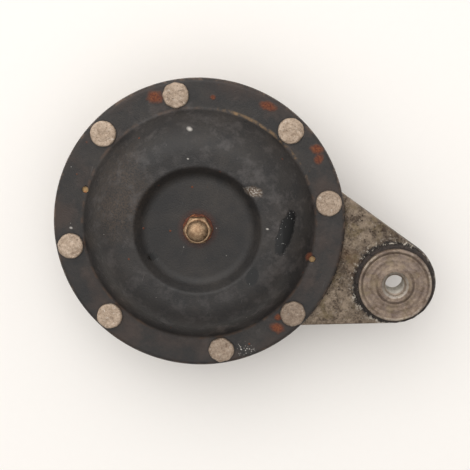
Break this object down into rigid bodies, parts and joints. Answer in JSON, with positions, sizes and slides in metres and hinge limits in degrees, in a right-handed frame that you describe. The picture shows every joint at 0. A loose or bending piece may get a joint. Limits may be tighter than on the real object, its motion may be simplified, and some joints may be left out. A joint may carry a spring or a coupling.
{
  "type": "electric disc horn",
  "caption": "Electric vehicle disc horn: riveted pressed front plate with ring bulge, cast body with rubber-bushed mounting lug, electromagnet and contact breaker.",
  "frame": {"origin": "on the disc's axis, in the plane of the back cover's rest bead", "axes": "+Z along the disc's axis, the way the horn sounds; +X from the axis towards the mounting lug"},
  "size_m": [0.1402, 0.104, 0.0514],
  "materials": {
    "black_enamel": "satin, worn",
    "cast_aluminium": "weathered, oxidised",
    "rivet_aluminium": "pitted, matte",
    "brass": "aged",
    "rusty_steel": "rusted",
    "turned_steel": "turned, dulled",
    "zinc_steel": "zinc plated, dulled",
    "soft_iron": "bare, oiled",
    "black_rubber": "perished",
    "bakelite": "moulded",
    "fibre": "vulcanised",
    "varnished_paper": "oiled",
    "cork": "pressed",
    "copper_enamel": "enamelled wire",
    "cotton_tape": "varnished",
    "spring_bronze": "bright",
    "tungsten": "ground",
    "lead_sleeve": "braided"
  },
  "bodies": {
    "root": {"front_plate": "black_enamel", "rim_gasket": "varnished_paper", "rim_rivets": "rivet_aluminium", "magnet_pot": "soft_iron", "magnet_core": "soft_iron", "coil_bobbin": "bakelite", "coil_winding": "copper_enamel", "coil_tape": "cotton_tape", "yoke_screws": "zinc_steel", "coil_leads": "lead_sleeve", "housing": "cast_aluminium", "upper_bowl": "cast_aluminium", "mounting_rim": "cast_aluminium", "back_cover": "black_enamel", "cover_gasket": "cork", "cover_screws": "zinc_steel", "stack_insulators": "fibre", "stack_clamp": "zinc_steel", "stack_screws": "zinc_steel", "fixed_leaf_root": "brass", "moving_leaf_root": "spring_bronze", "adjuster_bush": "brass", "adjuster_lock_nut": "zinc_steel", "suppressor": "bakelite", "suppressor_strap": "zinc_steel", "strap_screw": "zinc_steel", "terminal_bushes": "bakelite", "terminal_studs": "brass", "terminal_washers": "brass", "terminal_nuts": "brass", "mount_grommet": "black_rubber"},
    "armature_group": {"centre_nut": "brass", "centre_washer": "rusty_steel", "armature": "soft_iron", "armature_rod": "turned_steel", "rod_tip": "bakelite"},
    "moving_contact_leaf": {"moving_leaf": "spring_bronze", "moving_contact": "tungsten"},
    "fixed_contact_leaf": {"fixed_leaf": "brass", "fixed_contact": "tungsten"},
    "adjuster_carriage": {"adjuster_tip": "fibre"},
    "adjuster": {"adjuster_screw": "zinc_steel"},
    "bush_sleeve": {"mount_sleeve": "turned_steel", "mount_washer": "rusty_steel"}
  },
  "joints": [
    {"name": "armature_stroke", "type": "slide", "parent": "root", "child": "armature_group", "axis": [0, 0, -1], "range_m": [0, 0.0006], "stiffness_N_per_m": 20000, "deforming": ["front_plate"]},
    {"name": "moving_leaf_flex", "type": "hinge", "parent": "root", "child": "moving_contact_leaf", "pos_m": [-0.0203, 0, 0.0096], "axis": [0, 1, 0], "range_deg": [0, 1.7]},
    {"name": "fixed_leaf_flex", "type": "hinge", "parent": "root", "child": "fixed_contact_leaf", "pos_m": [-0.0203, 0, 0.013], "axis": [0, -1, 0], "range_deg": [0, 1.3]},
    {"name": "adjuster_travel", "type": "slide", "parent": "root", "child": "adjuster_carriage", "axis": [0, 0, 1], "range_m": [0, 0.0008]},
    {"name": "adjuster_turn", "type": "hinge", "parent": "adjuster_carriage", "child": "adjuster", "pos_m": [0.015, 0, 0.005], "axis": [0, 0, 1], "range_deg": [0, 360]},
    {"name": "bush_flex", "type": "hinge", "parent": "root", "child": "bush_sleeve", "pos_m": [0.0733, 0, 0.03065], "axis": [0, 1, 0], "range_deg": [-3, 3], "stiffness_Nm_per_rad": 3, "deforming": ["mount_grommet"]}
  ],
  "couplings": [
    {"joint": "moving_leaf_flex", "follows": "armature_stroke", "rad_per_m": 49.261},
    {"joint": "fixed_leaf_flex", "follows": "adjuster_travel", "rad_per_m": 28.329}
  ]
}
